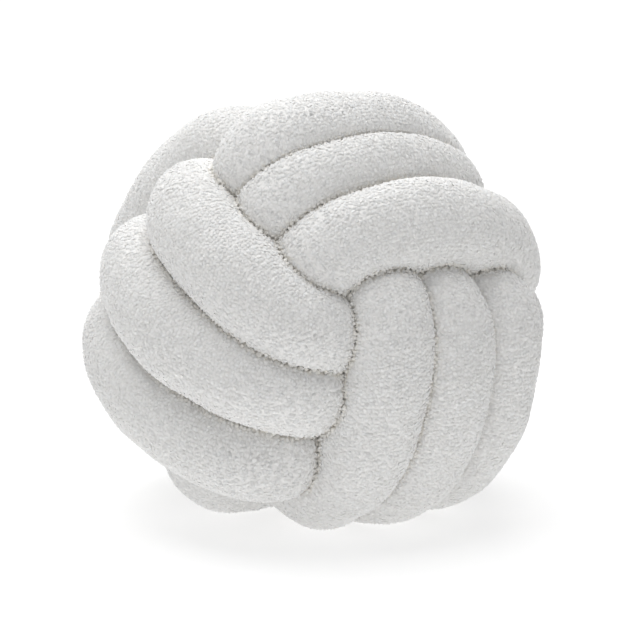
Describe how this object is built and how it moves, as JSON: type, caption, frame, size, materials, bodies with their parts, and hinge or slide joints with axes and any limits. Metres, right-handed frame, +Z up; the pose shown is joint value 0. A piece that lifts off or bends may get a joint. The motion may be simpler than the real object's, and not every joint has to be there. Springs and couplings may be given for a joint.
{
  "type": "knot cushion",
  "caption": "Ball-shaped cushion, tied as a fist knot from one long stuffed boucle tube whose ends are tucked inside, for a sofa, bed or chair.",
  "frame": {"origin": "centre of the bounding box in plan, at the height of the surface that the cushion rests on", "axes": "+Z up, +X to the right of someone who stands in front of the cushion, at -Y, and looks along +Y"},
  "size_m": [0.3, 0.2944, 0.2773],
  "materials": {
    "boucle": "off-white boucle cloth with small round nubs, matt"
  },
  "bodies": {
    "root": {"knotted_tube": "boucle"}
  },
  "joints": []
}
